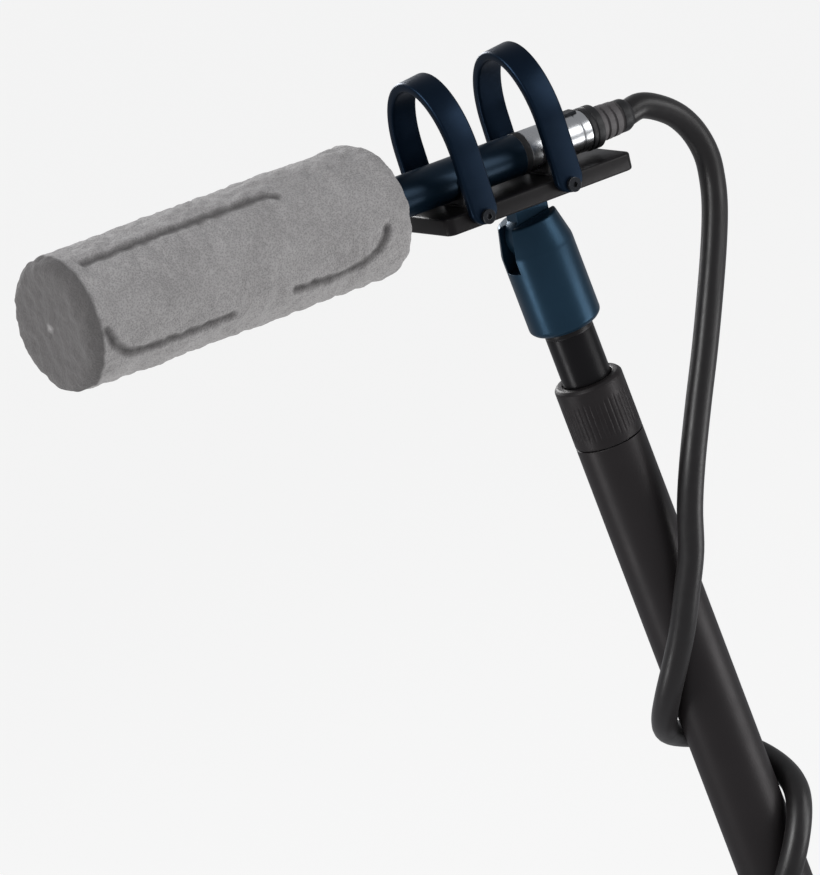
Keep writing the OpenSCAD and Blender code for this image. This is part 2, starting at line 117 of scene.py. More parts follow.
CAMERA_AZIMUTH = radians(-30)
CAMERA_ELEVATION = radians(18.5)
CAMERA_ROLL = radians(21)
CAMERA_DISTANCE = 6.552
LOOK_AT = Vector((-0.0721, 0.0428, 0.3131))

back = Vector((sin(CAMERA_AZIMUTH) * cos(CAMERA_ELEVATION),
               -cos(CAMERA_AZIMUTH) * cos(CAMERA_ELEVATION), sin(CAMERA_ELEVATION)))
level_right = Vector((cos(CAMERA_AZIMUTH), sin(CAMERA_AZIMUTH), 0))
level_up = back.cross(level_right)
frame_right = cos(CAMERA_ROLL) * level_right - sin(CAMERA_ROLL) * level_up
frame_up = sin(CAMERA_ROLL) * level_right + cos(CAMERA_ROLL) * level_up
turn = Matrix((frame_right, frame_up, back)).transposed().to_4x4()
camera.matrix_world = Matrix.Translation(LOOK_AT + back * CAMERA_DISTANCE) @ turn
camera_data.lens = 600
camera_data.sensor_width = 36
camera_data.clip_start, camera_data.clip_end = 0.1, 60
print("camera at", [round(v, 3) for v in camera.matrix_world.translation])

# %% [markdown]
# ## From points to a piece
# Every mesh below starts as a list of points and a list of faces, made by a helper that
# stands for a workshop step: turning, drawing along a line, cutting a plate, sawing. This
# first helper turns such lists into an object. It joins doubled points, makes all faces
# look outwards, and keeps the shading sharp only where two faces meet at a real edge.

# %% Helper: a mesh object from points and faces
MM = 0.001
print("one millimetre is", MM, "m")


def piece_from(name, points, faces, place=Matrix(), sharp=40):
    """A mesh object from points and faces, with smooth shading broken at sharp edges."""
    mesh = bpy.data.meshes.new(name)
    mesh.from_pydata([place @ Vector(p) for p in points], [], faces)
    made = bmesh.new()
    made.from_mesh(mesh)
    bmesh.ops.remove_doubles(made, verts=made.verts, dist=1e-6)
    bmesh.ops.dissolve_degenerate(made, edges=made.edges, dist=1e-7)
    bmesh.ops.recalc_face_normals(made, faces=made.faces)
    made.to_mesh(mesh)
    made.free()
    mesh.shade_smooth()
    mesh.set_sharp_from_angle(angle=radians(sharp))
    thing = bpy.data.objects.new(name, mesh)
    bpy.context.scene.collection.objects.link(thing)
    return thing


# %% [markdown]
# A piece has to move with the right body when a joint moves, and it takes the place of the
# plain CAD node. The second helper gives a finished piece its material, hides the CAD nodes
# it stands for and lets it ride on its body.

# %% Helper: hand a piece over to its body
def hand_over(thing, finish, body, stands_for=()):
    """Give a piece its finish, hide the CAD nodes it stands for, and let it ride its body."""
    thing.data.materials.clear()
    thing.data.materials.append(finish)
    if stands_for:
        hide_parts(*stands_for)
    if body:
        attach(thing, body)
    print(f"{thing.name}: {len(thing.data.vertices)} points on {body or 'two bodies'}")
    return thing


# %% [markdown]
# ## Finishes
# A finish is a shader made of the same few layers each time. A slow noise makes the colour
# uneven, a faster one varies the roughness, a texture lifts and lowers the surface as grain,
# drawing lines or weave, and a last layer shows bare material on worn edges. One helper
# stacks these layers, so each finish below only states what is special about it.

# %% Helpers: a colour, and a shader node
def paint(code):
    """A web colour code as the linear colour that shaders work with."""
    parts = [int(code[i:i + 2], 16) / 255 for i in (1, 3, 5)]
    return [p / 12.92 if p <= 0.04045 else ((p + 0.055) / 1.055) ** 2.4 for p in parts] + [1]


def put(material, kind, settings=None, **inputs):
    """Add a shader node. An input takes a number, a colour or another node's output."""
    made = material.node_tree.nodes.new("ShaderNode" + kind)
    for key, value in (settings or {}).items():
        setattr(made, key, value)
    for key, value in inputs.items():
        socket = made.inputs[key.replace("_", " ")]
        if isinstance(value, bpy.types.NodeSocket):
            material.node_tree.links.new(value, socket)
        else:
            socket.default_value = value
    return made


# %% Helpers: mixing two colours, and stretching a value
def mixed(material, factor, colour_a, colour_b, how="MIX"):
    """Mix two colours by a factor."""
    made = put(material, "Mix", {"data_type": "RGBA", "blend_type": how})
    for socket, value in zip((made.inputs[0], made.inputs[6], made.inputs[7]),
                             (factor, colour_a, colour_b)):
        if isinstance(value, bpy.types.NodeSocket):
            material.node_tree.links.new(value, socket)
        else:
            socket.default_value = value
    return made.outputs[2]


def ramp(material, value, low, high, to_low=0.0, to_high=1.0):
    """Stretch a value from one range to another."""
    return put(material, "MapRange", None, Value=value, From_Min=low, From_Max=high,
               To_Min=to_low, To_Max=to_high).outputs["Result"]


# %% [markdown]
# Edges wear first. The Bevel node gives the normal that a rounded edge would have. Where it
# differs from the true normal there is an edge, and a patchy noise leaves only parts of it
# rubbed, because nothing wears evenly.

# %% Helper: where an edge is worn
EDGE_RADIUS = 0.5 * MM


def worn_edges(material, place, amount):
    """A value that is 0 on open faces and up to amount on rubbed edges."""
    links = material.node_tree.links
    rounded = put(material, "Bevel", {"samples": 4}, Radius=EDGE_RADIUS).outputs["Normal"]
    flat = put(material, "NewGeometry").outputs["Normal"]
    agree = put(material, "VectorMath", {"operation": "DOT_PRODUCT"})
    links.new(rounded, agree.inputs[0])
    links.new(flat, agree.inputs[1])
    patchy = put(material, "TexNoise", None, Vector=place, Scale=260.0, Detail=6.0)
    scuffed = put(material, "Math", {"operation": "MULTIPLY"})
    links.new(ramp(material, agree.outputs["Value"], 0.99, 0.86), scuffed.inputs[0])
    links.new(ramp(material, patchy.outputs["Fac"], 0.42, 0.62, 0, amount), scuffed.inputs[1])
    return scuffed.outputs[0]


# %% [markdown]
# One function stacks the layers. A finish then only says how it differs: its colour, how
# rough it is and how much that varies, its grain, the direction the grain is stretched in,
# and the bare colour that shows on its edges.

# %% Helper: one finish
def new_finish(name, colour, roughness, metal=0.0, uneven=0.14, patch=45, spread=0.08,
               grain=("Noise", 900, 0.00004), stretch=(1, 1, 1), worn=None, **sockets):
    """One finish: uneven colour, varied roughness, grain, and worn edges where asked."""
    material = bpy.data.materials.new(name)
    material.use_nodes = True
    links = material.node_tree.links
    shader = material.node_tree.nodes["Principled BSDF"]
    shader.inputs["Metallic"].default_value = metal
    for key, value in sockets.items():
        shader.inputs[key.replace("_", " ")].default_value = value
    place = put(material, "TexCoord").outputs["Object"]
    base = Vector(paint(colour)[:3])
    slow = put(material, "TexNoise", None, Vector=place, Scale=patch, Detail=4.0)
    shade = mixed(material, ramp(material, slow.outputs["Fac"], 0.3, 0.7),
                  (*(base * (1 - uneven)), 1), (*(base * (1 + uneven)), 1))
    fast = put(material, "TexNoise", None, Vector=place, Scale=patch * 5, Detail=3.0)
    rough = ramp(material, fast.outputs["Fac"], 0.25, 0.75,
                 max(roughness - spread, 0.02), min(roughness + spread, 1.0))
    kind, scale, depth = grain
    pulled = put(material, "Mapping", None, Vector=place, Scale=stretch).outputs["Vector"]
    texture = put(material, "Tex" + kind, None, Vector=pulled, Scale=scale)
    height = texture.outputs["Fac" if kind != "Voronoi" else "Distance"]
    bump = put(material, "Bump", None, Height=height, Strength=0.8, Distance=depth)
    if worn:
        colour_worn, roughness_worn, amount = worn
        edges = worn_edges(material, place, amount)
        shade = mixed(material, edges, shade, paint(colour_worn))
        rubbed = put(material, "Mix", {"data_type": "FLOAT"}, Factor=edges)
        links.new(rough, rubbed.inputs[2])
        rubbed.inputs[3].default_value = roughness_worn
        rough = rubbed.outputs[0]
    for output, socket in ((shade, "Base Color"), (rough, "Roughness"),
                           (bump.outputs["Normal"], "Normal")):
        links.new(output, shader.inputs[socket])
    return material


# %% [markdown]
# ### Anodised aluminium
# Tubes, bar and hoops are aluminium with a dyed oxide layer. The tube was drawn through a
# die, so its surface holds very fine lines along its length, and the dye is satin, not
# glossy. Edges that rub show the bare metal.

# %% The anodised finishes
tube_satin = new_finish(
    "pole_satin_black", "#272425", 0.42, metal=0.35, Specular_IOR_Level=0.35, uneven=0.08,
    patch=20, spread=0.04, grain=("Noise", 1500, 0.00001), stretch=(1, 1, 0.02),
    worn=("#77757a", 0.35, 0.5))
inner_satin = new_finish(
    "extension_black", "#141315", 0.32, metal=0.35, Specular_IOR_Level=0.3, uneven=0.08,
    spread=0.03, grain=("Noise", 1500, 0.000008), stretch=(1, 1, 0.02),
    worn=("#5a5a5e", 0.3, 0.4))
collar_black = new_finish(
    "collar_black", "#272425", 0.44, metal=0.35, Specular_IOR_Level=0.35,
    grain=("Noise", 2200, 0.00004), worn=("#77757a", 0.35, 0.45))
navy_stem = new_finish(
    "stem_navy", "#213b4e", 0.34, metal=0.7, Specular_IOR_Level=0.4, uneven=0.06, spread=0.03,
    grain=("Noise", 1600, 0.000008), stretch=(0.05, 0.05, 1), worn=("#5d7484", 0.3, 0.4))
navy_hoop = new_finish(
    "hoop_navy", "#102031", 0.36, metal=0.8, Specular_IOR_Level=0.35, uneven=0.08, spread=0.04,
    grain=("Noise", 1400, 0.00001), worn=("#7d93a3", 0.3, 0.5))
navy_barrel = new_finish(
    "barrel_navy", "#152838", 0.34, metal=0.65, Specular_IOR_Level=0.35, uneven=0.05, patch=15,
    spread=0.015, grain=("Noise", 600, 0.000001), worn=("#8aa0b0", 0.3, 0.4))
bar_black_satin = new_finish(
    "bar_black", "#171516", 0.38, metal=0.3, Specular_IOR_Level=0.35, uneven=0.10, spread=0.05,
    grain=("Noise", 1300, 0.00002), stretch=(0.1, 1, 1), worn=("#8a888c", 0.35, 0.6))
print("anodised finishes ready")

# %% [markdown]
# ### Plated, bare and printed parts
# The plug's shell is satin nickel. Screws are steel, contacts are gold, the guide bush is
# nylon, and the circuit board is glass-filled resin under green lacquer.

# %% The metal, plastic and board finishes
satin_nickel = new_finish("shell_nickel", "#d6d8da", 0.27, metal=1.0, uneven=0.03,
                          patch=12, spread=0.01, grain=("Noise", 300, 0.0000005))
bare_alloy = new_finish("turned_alloy", "#a5a8ac", 0.33, metal=1.0, uneven=0.06,
                        grain=("Noise", 1500, 0.00003), stretch=(0.05, 0.05, 1))
screw_bright = new_finish("screw_zinc", "#b4b7bb", 0.30, metal=1.0, uneven=0.06)
screw_dark = new_finish("screw_blackened", "#24262a", 0.36, metal=0.8, uneven=0.1,
                        worn=("#8b8c90", 0.3, 0.7))
contact_plate = new_finish("contact_gold", "#d2a94e", 0.22, metal=1.0, uneven=0.05)
capsule_metal = new_finish("capsule_brass", "#a88c4c", 0.34, metal=1.0, uneven=0.08)
board_lacquer = new_finish("board_green", "#1f5a38", 0.35, uneven=0.2, patch=300)
nylon = new_finish("bush_nylon", "#d8d4c8", 0.5, uneven=0.05, Subsurface_Weight=0.1)
moulded = new_finish("moulded_black", "#1a1a1c", 0.48, uneven=0.1,
                     grain=("Voronoi", 1800, 0.00005), worn=("#4a4a4c", 0.5, 0.4))
rubber = new_finish("foot_rubber", "#1c1c1e", 0.72, uneven=0.15,
                    grain=("Voronoi", 1400, 0.00008), worn=("#5c5a58", 0.85, 0.5))
# Painted highlight: the boot is black rubber, given a grey colour for the light on it.
boot_rubber_painted_highlight = new_finish("boot_grey", "#575455", 0.55, uneven=0.1,
                         grain=("Voronoi", 1600, 0.00005))
print("small-part finishes ready")

# %% [markdown]
# ### Cable jacket and strap
# The jacket is a limp rubbery plastic with a faint grain: dark, with a soft shine. The strap
# is woven, so bands of ribs run across it and the light gets lost between its threads.

# %% The jacket and the strap
jacket = new_finish("cable_jacket", "#151314", 0.37, uneven=0.08, patch=60, spread=0.05,
                    grain=("Noise", 1500, 0.00004), Sheen_Weight=0.05)
webbing = new_finish("strap_weave", "#19191b", 0.85, uneven=0.25, patch=300,
                     grain=("Wave", 420, 0.0003), Sheen_Weight=0.25)
print("jacket and strap ready")

# %% [markdown]
# ### Foam
# Foam is a mass of open cells. A cell texture gives the pits, which get painted shade
# because light dies in them, a coarser one lifts the surface in clumps, and a slow noise
# breaks up the grey. The finish also reads a value called shade that the mesh will carry:
# painted shade that darkens the creases and the front face. No other finish needs that, so
# this one is built by hand.

# %% The foam's finish
foam_grey = bpy.data.materials.new("open_cell_foam")
foam_grey.use_nodes = True
foam_shader = foam_grey.node_tree.nodes["Principled BSDF"]
for socket, value in (("Sheen Weight", 0.12), ("Sheen Roughness", 0.6), ("Roughness", 0.95),
                      ("Specular IOR Level", 0.15)):
    foam_shader.inputs[socket].default_value = value
foam_place = put(foam_grey, "TexCoord").outputs["Object"]
cells = put(foam_grey, "TexVoronoi", None, Vector=foam_place, Scale=1150.0, Randomness=1.0)
coarse = put(foam_grey, "TexVoronoi", None, Vector=foam_place, Scale=420.0, Randomness=1.0)
drift = put(foam_grey, "TexNoise", None, Vector=foam_place, Scale=55.0, Detail=6.0)
# Painted shade: the carried value darkens the creases and the front face.
carried_painted_shade = put(foam_grey, "Attribute", {"attribute_name": "shade"}).outputs["Fac"]
# Painted shade in the cells' pits.
pit_painted_shade = ramp(foam_grey, cells.outputs["Distance"], 0.05, 0.7, 0.42, 0.0)
foam_colour = mixed(foam_grey, ramp(foam_grey, drift.outputs["Fac"], 0.3, 0.7),
                    paint("#989696"), paint("#a5a3a3"))
# Painted shade colours: first for the creases and front face, then for the pits.
foam_colour = mixed(foam_grey, carried_painted_shade, foam_colour, paint("#535151"))
foam_colour = mixed(foam_grey, pit_painted_shade, foam_colour, paint("#4c4a4a"))
lift = put(foam_grey, "Math", {"operation": "MULTIPLY_ADD"})
lift.inputs[1].default_value = 0.8
foam_bump = put(foam_grey, "Bump", None, Height=lift.outputs[0], Strength=0.7, Distance=0.0005)
for output, socket in ((coarse.outputs["Distance"], lift.inputs[0]),
                       (cells.outputs["Distance"], lift.inputs[2]),
                       (foam_colour, foam_shader.inputs["Base Color"]),
                       (foam_bump.outputs["Normal"], foam_shader.inputs["Normal"])):
    foam_grey.node_tree.links.new(output, socket)
print("foam finish ready, with", len(foam_grey.node_tree.nodes), "nodes")

# %% [markdown]
# ## The cable
# A microphone cable leaves the plug through its boot, springs over in a wide arc, falls to
# the pole and is wound twice round it. The unseen rest is folded into a hank in line with
# the pole and strapped there, with its own plug on the end. A cable is one smooth line with
# a round section, so the line comes first: a few listed points, and a curve that passes
# through all of them.

# %% The cable's points, in millimetres
CABLE_RADIUS = 6 * MM
plug_end = cradle_box("boot_ring")[1].x / MM
cable_exit = cradle_place @ Vector((plug_end * MM, 0, mic_height))
over_the_arc = [(76.5, 0, 408.4), (84.8, -1, 403.2), (91.9, -2, 395.5), (96.4, -3, 385.4),
                (97.2, -5, 374), (94.3, -7, 363), (88.5, -10, 352), (79, -13, 337.5),
                (65.5, -17, 319.5), (51, -20, 299.5), (35.7, -23, 279.5), (20.5, -25.5, 258),
                (11, -25.5, 240), (4, -25, 222)]
first_turn = [(-4.5, -22.8, 205), (-12, -19.5, 189), (-18.5, -13.5, 174), (-22.3, -5, 160),
              (-22.4, 4.5, 148), (-18.5, 13.3, 139), (-11, 20.1, 132), (-1.5, 22.9, 126),
              (8, 21.5, 121)]
second_turn = [(16, 16.2, 112), (21.4, 7.7, 104), (22.6, -2, 97), (19.7, -11.3, 91),
               (13, -18.7, 84), (3.9, -22.5, 74), (-5.8, -22, 62), (-14.6, -17.4, 50),
               (-20.8, -9.6, 39), (-24, 0, 29), (-28.5, 10, 19), (-33, 17.8, 5),
               (-35.6, 22.4, -12), (-36, 23, -33)]
print("points by hand:", len(over_the_arc + first_turn + second_turn))


# %% A smooth curve through the points
def smooth_line(corners, steps):
    """A curve through all corners, with the given number of steps between two of them."""
    out = []
    last = len(corners) - 1
    for i in range(last):
        a, b = corners[max(i - 1, 0)], corners[i]
        c, d = corners[i + 1], corners[min(i + 2, last)]
        for step in range(steps):
            t = step / steps
            out.append(0.5 * (2 * b + (c - a) * t + (2 * a - 5 * b + 4 * c - d) * t * t
                              + (3 * b - a - 3 * c + d) * t ** 3))
    return out + [corners[-1]]


def line_length(line):
    """How long a line of points is."""
    return sum((b - a).length for a, b in zip(line, line[1:]))


corners = [cable_exit] + [Vector(p) * MM for p in over_the_arc + first_turn + second_turn]
STEPS = 6
whole_route = smooth_line(corners, STEPS)
seam_index = (len(over_the_arc) + len(first_turn)) * STEPS
upper_line = whole_route[:seam_index + 1]
lower_start = whole_route[seam_index:]
print("from the boot to the seam:", round(line_length(upper_line), 3), "m")

# %% [markdown]
# A hank is made by winding the cable to and fro between two folds. Each loop lies one cable
# diameter behind the last. The step backwards happens on the way round the folds and up the
# right side, so the runs on the left stay straight and side by side.

# %% The hank's line
HANK_TURN, HANK_HIGH, HANK_LOW = 36 * MM, -33 * MM, -175 * MM
LOOP_STEP = 12.2 * MM
hank_near = 23 * MM
tail_y = hank_near + 2 * LOOP_STEP


def one_loop(y):
    """Down the left side, round the lower fold, up the right side, round the upper fold."""
    straight = HANK_HIGH - HANK_LOW
    bend = pi * HANK_TURN
    rest = 2 * bend + straight
    out = []
    count = 44
    for i in range(1, 13):
        out.append(Vector((-HANK_TURN, y, HANK_HIGH - straight * i / 12)))
    for i in range(1, count + 1):
        gone = rest * i / count
        share = gone / rest
        y_here = y + LOOP_STEP * share * share * (3 - 2 * share)
        if gone <= bend:
            angle = gone / HANK_TURN
            out.append(Vector((-HANK_TURN * cos(angle), y_here, HANK_LOW - HANK_TURN * sin(angle))))
        elif gone <= bend + straight:
            out.append(Vector((HANK_TURN, y_here, HANK_LOW + gone - bend)))
        else:
            angle = (gone - bend - straight) / HANK_TURN
            out.append(Vector((HANK_TURN * cos(angle), y_here, HANK_HIGH + HANK_TURN * sin(angle))))
    return out


tail_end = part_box("end_plug_boot")[1].z - 1.5 * MM
hank_line = one_loop(hank_near) + one_loop(hank_near + LOOP_STEP)
tail_count = 16
tail_line = [Vector((-HANK_TURN, tail_y, HANK_HIGH + (tail_end - HANK_HIGH) * i / tail_count))
             for i in range(1, tail_count + 1)]
lower_line = lower_start + hank_line + tail_line
print("from the seam to the end plug:", round(line_length(lower_line), 3), "m")

# %% [markdown]
# To draw a section along a line, every point of the line needs two directions across it.
# Carrying one of them on from point to point, and only straightening it, keeps the section
# from twisting. The same helper later draws the straps and the hoops.

# %% Helpers: drawing a section along a line
def frames_along(line, normal, closed=False):
    """A tangent and a normal at each point, the normal carried on without twist."""
    out = []
    last = len(line) - 1
    for i, point in enumerate(line):
        ahead = line[(i + 1) % len(line)] if closed else line[min(i + 1, last)]
        behind = line[i - 1] if closed else line[max(i - 1, 0)]
        tangent = (ahead - behind).normalized()
        normal = (normal - normal.dot(tangent) * tangent).normalized()
        out.append((point, tangent, normal.copy()))
    return out


def drawn(name, line, section_at, normal, closed=False, place=Matrix(), sharp=40):
    """Sweep a section along a line. section_at(i) gives the (across, out) points there."""
    points, faces = [], []
    stations = frames_along(line, normal, closed)
    for i, (point, tangent, across) in enumerate(stations):
        out = tangent.cross(across)
        section = section_at(i)
        points += [point + a * across + b * out for a, b in section]
    size = len(section)
    for i in range(len(line) - (0 if closed else 1)):
        here, there = i * size, (i + 1) % len(line) * size
        for k in range(size):
            m = (k + 1) % size
            faces.append((here + k, here + m, there + m, there + k))
    if not closed:
        faces.append(tuple(range(size)))
        faces.append(tuple((len(line) - 1) * size + k for k in range(size)))
    return piece_from(name, points, faces, place, sharp)

# %% [markdown]
# Both lengths of cable get a round section of 20 sides. The upper length hangs between the
# cradle, which tilts, and the extension tube. The lower one runs from the extension to the
# pole, so neither is put on a body: each stays where it is drawn.

# %% Draw the cable and hand it over
circle = [(CABLE_RADIUS * cos(2 * pi * k / 20), CABLE_RADIUS * sin(2 * pi * k / 20))
          for k in range(20)]
upper_cable = drawn("cable_over_the_arc", upper_line, lambda i: circle, Vector((0, 1, 0)))
hand_over(upper_cable, jacket, None, ["cable_upper"])
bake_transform(upper_cable)

lower_cable = drawn("cable_to_the_hank", lower_line, lambda i: circle, Vector((0, 0, 1)))
hand_over(lower_cable, jacket, None, ["cable_lower", "cable_hank", "cable_tail"])
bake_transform(lower_cable)

# %% [markdown]
# ### Straps and the end plug
# Two hook-and-loop straps go round the pole and the hank together. A strap is a thin woven
# band under tension, so seen from above its line is the shortest one round everything: the
# convex hull of the pole's circle and the hank's corners.

# %% The strap's line
hank_low, hank_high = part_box("cable_hank")
strap_low, strap_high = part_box("cable_straps")
pole_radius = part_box("outer_tube")[1].x


def hull_line(gap, spacing):
    """The shortest closed line round the pole and the hank, at even spacing."""
    dots = [((pole_radius + gap) * cos(radians(a)), (pole_radius + gap) * sin(radians(a)))
            for a in range(0, 360, 4)]
    for x in (hank_low.x, hank_high.x):
        for y in (hank_low.y, hank_high.y):
            dots += [(x + gap * cos(radians(a)), y + gap * sin(radians(a)))
                     for a in range(0, 360, 15)]
    dots = sorted(set(dots))
    hull = []
    for ordered in (dots, dots[::-1]):
        chain = []
        for p in ordered:
            while len(chain) > 1 and ((chain[-1][0] - chain[-2][0]) * (p[1] - chain[-2][1])
                                      <= (chain[-1][1] - chain[-2][1]) * (p[0] - chain[-2][0])):
                chain.pop()
            chain.append(p)
        hull += chain[:-1]
    loop = [Vector((x, y, 0)) for x, y in hull]
    out = []
    for a, b in zip(loop, loop[1:] + loop[:1]):
        parts = max(1, ceil((b - a).length / spacing))
        out += [a.lerp(b, i / parts) for i in range(parts)]
    return out


print("one strap is", round(line_length(hull_line(1.1 * MM, 3 * MM)), 3), "m round")


# %% Helper: the outline of a flat band
def soft_box(half_width, half_height, corner, steps=4):
    """The outline of a rectangle with rounded corners, as (across, out) points."""
    outline = []
    for cx, cy, start in ((1, 1, 0), (-1, 1, 90), (-1, -1, 180), (1, -1, 270)):
        for step in range(steps + 1):
            angle = radians(start + 90 * step / steps)
            outline.append((cx * (half_width - corner) + corner * cos(angle),
                            cy * (half_height - corner) + corner * sin(angle)))
    return outline


# %% [markdown]
# The band is drawn along that line. Its loose end lies over it at the back, so a short tab
# is drawn on a slightly larger line, narrower at its ends where it was trimmed.

# %% The straps
strap_band = 16 * MM
strap_section = soft_box(strap_band / 2, 0.7 * MM, 0.5 * MM, 2)
for strap_name, low_z in (("strap_high", strap_high.z - strap_band), ("strap_low", strap_low.z)):
    middle = Vector((0, 0, low_z + strap_band / 2))
    loop = [p + middle for p in hull_line(1.1 * MM, 3 * MM)]
    strap = drawn(strap_name, loop, lambda i: strap_section, Vector((0, 0, 1)), closed=True)
    outer = [p + middle for p in hull_line(2.5 * MM, 3 * MM)]
    tab_line = [p for p in outer if p.y > hank_high.y and -0.026 < p.x < 0.016]
    tab_line.sort(key=lambda p: p.x)

    def tab_section(i, last=len(tab_line) - 1):
        share = min(1.0, 0.55 + 0.45 * min(i, last - i) / 2)
        return [(a * share, b) for a, b in soft_box(strap_band / 2 - 0.4 * MM, 0.65 * MM,
                                                    0.5 * MM, 2)]

    tab = drawn(strap_name + "_tab", tab_line, tab_section, Vector((0, 0, 1)))
    hand_over(tab, webbing, "pole")
    hand_over(strap, webbing, "pole", ["cable_straps"] if low_z < -0.1 else [])

# %% [markdown]
# ### The lathe
# Most of what follows is round. A turned piece is its wall's outline, given as (radius,
# height) points and spun round an axis. Real turned edges are never knife sharp, so a first
# helper rounds every inner corner of the outline before it is spun.

# %% Helpers: the lathe
def eased(outline, radius, steps=4):
    """Round every inner corner of an outline with a small curve."""
    line = [Vector(p) for p in outline]
    out = [line[0]]
    for before, corner, after in zip(line, line[1:], line[2:]):
        reach = min(radius, 0.45 * (before - corner).length, 0.45 * (after - corner).length)
        start = corner + (before - corner).normalized() * reach
        end = corner + (after - corner).normalized() * reach
        for step in range(steps + 1):
            t = step / steps
            out.append((1 - t) ** 2 * start + 2 * t * (1 - t) * corner + t * t * end)
    return out + [line[-1]]


def spun(name, outline, place=Matrix(), around=96, radius_at=None, sharp=40):
    """Spin an outline of (radius, height) round Z; radius_at may change a radius by angle."""
    points, faces = [], []
    count = len(outline)
    for turn_step in range(around):
        angle = 2 * pi * turn_step / around
        for radius, height in outline:
            if radius_at and radius > 0:
                radius = radius_at(radius, height, angle)
            points.append((radius * cos(angle), radius * sin(angle), height))
    for turn_step in range(around):
        here, there = turn_step * count, (turn_step + 1) % around * count
        for k in range(count - 1):
            faces.append((here + k, there + k, there + k + 1, here + k + 1))
    return piece_from(name, points, faces, place, sharp)

# %% [markdown]
# The end plug is a die-cast shell with a plain nose that goes into a socket. The boot
# behind it is moulded rubber with ribs that let it bend evenly. Both are turned shapes.

# %% The end plug's boot
boot_low, boot_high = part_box("end_plug_boot")
shell_low, shell_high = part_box("end_plug_shell")
plug_axis = Matrix.Translation((-HANK_TURN, tail_y, 0))
ribs = [(CABLE_RADIUS - 0.6 * MM, boot_high.z - 0.5 * MM)]
rib_count = 5
for i in range(rib_count):
    share = i / rib_count
    radius = (6.9 + 1.1 * share) * MM
    top = boot_high.z - (boot_high.z - boot_low.z) * share
    step = (boot_high.z - boot_low.z) / rib_count
    ribs += [(radius, top - 0.3 * MM), (radius, top - step * 0.62),
             (radius - 0.9 * MM, top - step * 0.68), (radius - 0.9 * MM, top - step * 0.94)]
ribs += [(8 * MM, boot_low.z), (3 * MM, boot_low.z)]
end_boot = spun("end_plug_strain_relief", eased(ribs, 0.3 * MM, 3), plug_axis, 64)
hand_over(end_boot, moulded, "pole", ["end_plug_boot"])

# %% The end plug's shell, and the facts of the lower cable
collar_low = shell_low.z + 14 * MM
nose_wall = [(8 * MM, shell_low.z + 18 * MM), (8 * MM, shell_low.z),
             (9.3 * MM, shell_low.z), (9.3 * MM, collar_low), (9.9 * MM, collar_low),
             (9.9 * MM, collar_low + 9 * MM), (9.5 * MM, collar_low + 9.6 * MM),
             (9.5 * MM, collar_low + 11 * MM), (9.9 * MM, collar_low + 11.6 * MM),
             (9.9 * MM, shell_high.z), (5 * MM, shell_high.z)]
end_shell = spun("end_plug_housing", eased(nose_wall, 0.5 * MM), plug_axis, 96)
hand_over(end_shell, satin_nickel, "pole", ["end_plug_shell"])

# %% [markdown]
# ## The pole
# Two drawn tubes, one inside the other. The outer one is plain satin black with an eased
# mouth. A twist collar with shallow flutes closes a split ring on the inner tube. Tubes are
# turned from their wall's outline, so they are hollow, as the real ones are.

# %% The outer tube
tube_low, tube_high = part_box("outer_tube")
wall = 1.6 * MM
outline = [(pole_radius - wall, tube_low.z), (pole_radius, tube_low.z),
           (pole_radius, tube_high.z), (pole_radius - wall, tube_high.z),
           (pole_radius - wall, tube_low.z)]
outer_tube = spun("outer_pole_tube", eased(outline, 0.35 * MM), around=128)
hand_over(outer_tube, tube_satin, "pole", ["outer_tube"])

# %% [markdown]
# The collar's flutes need points along its length to bend in and out, so the long straight
# stretches of its outline are divided every millimetre before it is spun.

# %% The collar
collar_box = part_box("clutch_collar")
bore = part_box("inner_tube")[1].x + 0.4 * MM
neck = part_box("clutch_collet")[1].x + 0.05 * MM
low, high = collar_box[0].z, collar_box[1].z
outline = [(neck, low), (pole_radius, low), (pole_radius, high - 1.6 * MM),
           (pole_radius - 1.4 * MM, high), (bore, high), (bore, high - 1.8 * MM),
           (neck + 0.1 * MM, high - 2.2 * MM), (neck, low)]
smooth = eased(outline, 0.6 * MM)
split = []
for a, b in zip(smooth, smooth[1:]):
    parts = max(1, int((b - a).length / (1.0 * MM)))
    split += [a.lerp(b, i / parts) for i in range(parts)]
split.append(smooth[-1])


FLUTES, FLUTE_DEPTH = 40, 0.25 * MM


def fluted(radius, height, angle):
    """Shallow flutes that fade out before the collar's ends."""
    if radius < pole_radius - 0.05 * MM:
        return radius
    from_low, from_high = height - low - 4 * MM, high - 7 * MM - height
    fade = max(0.0, min(1.0, from_low / (2 * MM), from_high / (2 * MM)))
    return radius - FLUTE_DEPTH * fade * max(0.0, cos(FLUTES * angle)) ** 2


collar = spun("twist_collar", split, around=400, radius_at=fluted, sharp=50)
hand_over(collar, collar_black, "collar", ["clutch_collar"])

# %% The extension tube
inner_low, inner_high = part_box("inner_tube")
radius = inner_high.x
outline = [(radius - 1.25 * MM, inner_low.z), (radius, inner_low.z), (radius, inner_high.z),
           (radius - 1.25 * MM, inner_high.z), (radius - 1.25 * MM, inner_low.z)]
extension = spun("extension_tube", eased(outline, 0.3 * MM), around=128)
hand_over(extension, inner_satin, "extension", ["inner_tube"])

# %% [markdown]
# ## The stem
# The navy stem screws onto the pole's stud. It is turned with a long straight body and a
# cone at the top, then a slot is milled across it for the lug, and the bolt's seats are
# bored. So the code does the same: spin it, then saw out the slot and the bores.

# %% Helpers: a block to cut with, and the saw
def block(low, high, place=Matrix()):
    """A plain block, used only as a saw."""
    corners = [(x, y, z) for x in (low[0], high[0]) for y in (low[1], high[1])
               for z in (low[2], high[2])]
    sides = [(0, 1, 3, 2), (4, 6, 7, 5), (0, 4, 5, 1), (2, 3, 7, 6), (0, 2, 6, 4), (1, 5, 7, 3)]
    return piece_from("saw", corners, sides, place)


